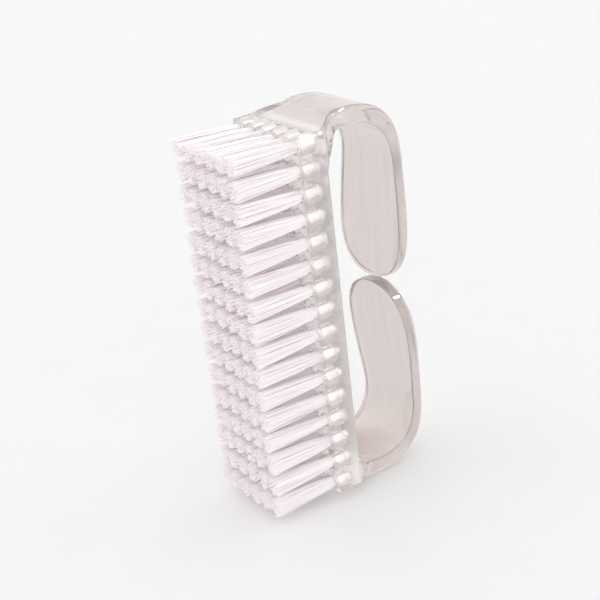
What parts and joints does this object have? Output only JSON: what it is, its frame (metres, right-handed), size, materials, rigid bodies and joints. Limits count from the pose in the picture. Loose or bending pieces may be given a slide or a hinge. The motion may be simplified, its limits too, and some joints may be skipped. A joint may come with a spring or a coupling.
{
  "type": "nail brush",
  "caption": "Clear plastic nail brush: a scalloped plate of white bristle tufts with a loop handle made of two curled prongs behind it.",
  "frame": {"origin": "bottom centre of the object's box, standing on a short end of the plate as in the picture", "axes": "+Z along the plate, -X the way the bristles point, +X towards the handle, Y across the plate"},
  "size_m": [0.0476, 0.0272, 0.0939],
  "materials": {
    "clear_acrylic": "clear, polished, injection moulded",
    "white_nylon": "white translucent filaments, cut ends"
  },
  "bodies": {
    "root": {"brush_body": "clear_acrylic", "tuft_row_01": "white_nylon", "tuft_row_02": "white_nylon", "tuft_row_03": "white_nylon", "tuft_row_04": "white_nylon", "tuft_row_05": "white_nylon", "tuft_row_06": "white_nylon", "tuft_row_07": "white_nylon", "tuft_row_08": "white_nylon", "tuft_row_09": "white_nylon", "tuft_row_10": "white_nylon", "tuft_row_11": "white_nylon", "tuft_row_12": "white_nylon", "tuft_row_13": "white_nylon", "tuft_row_14": "white_nylon", "tuft_row_15": "white_nylon", "tuft_row_16": "white_nylon"}
  },
  "joints": []
}
